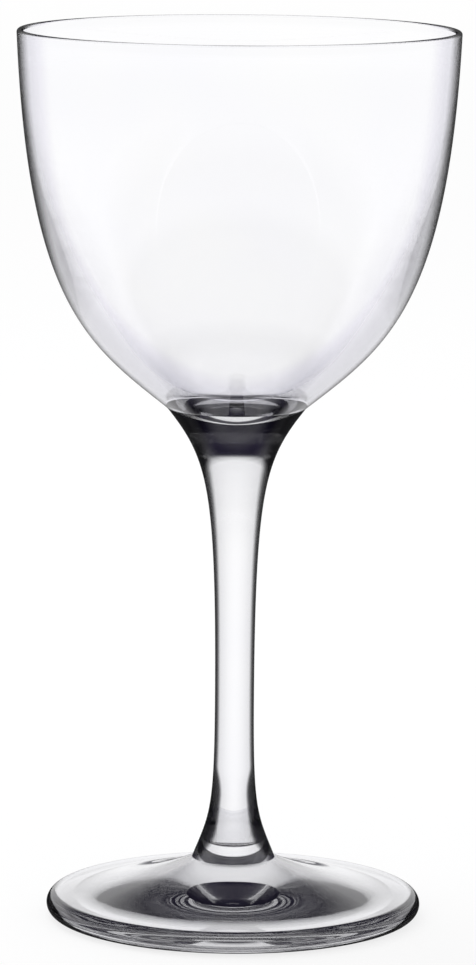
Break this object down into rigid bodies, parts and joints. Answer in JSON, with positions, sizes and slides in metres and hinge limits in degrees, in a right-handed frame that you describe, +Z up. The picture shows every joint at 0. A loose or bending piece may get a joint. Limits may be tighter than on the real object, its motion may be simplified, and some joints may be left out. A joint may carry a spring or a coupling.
{
  "type": "nick and nora glass",
  "caption": "Stemmed cocktail glass with a deep, nearly upright bowl on a slim solid stem and a round foot, in clear glass.",
  "frame": {"origin": "middle of the foot's underside, on the surface that the glass stands on", "axes": "+Z up along the glass's axis of turning; X and Y lie in the surface, and the glass is round about Z"},
  "size_m": [0.074, 0.074, 0.15],
  "materials": {
    "bowl_glass": "clear, blown and fire-polished",
    "stem_glass": "clear, drawn and smooth",
    "foot_glass": "clear, pressed and fire-polished"
  },
  "bodies": {
    "root": {"bowl": "bowl_glass", "stem": "stem_glass", "foot": "foot_glass"}
  },
  "joints": []
}
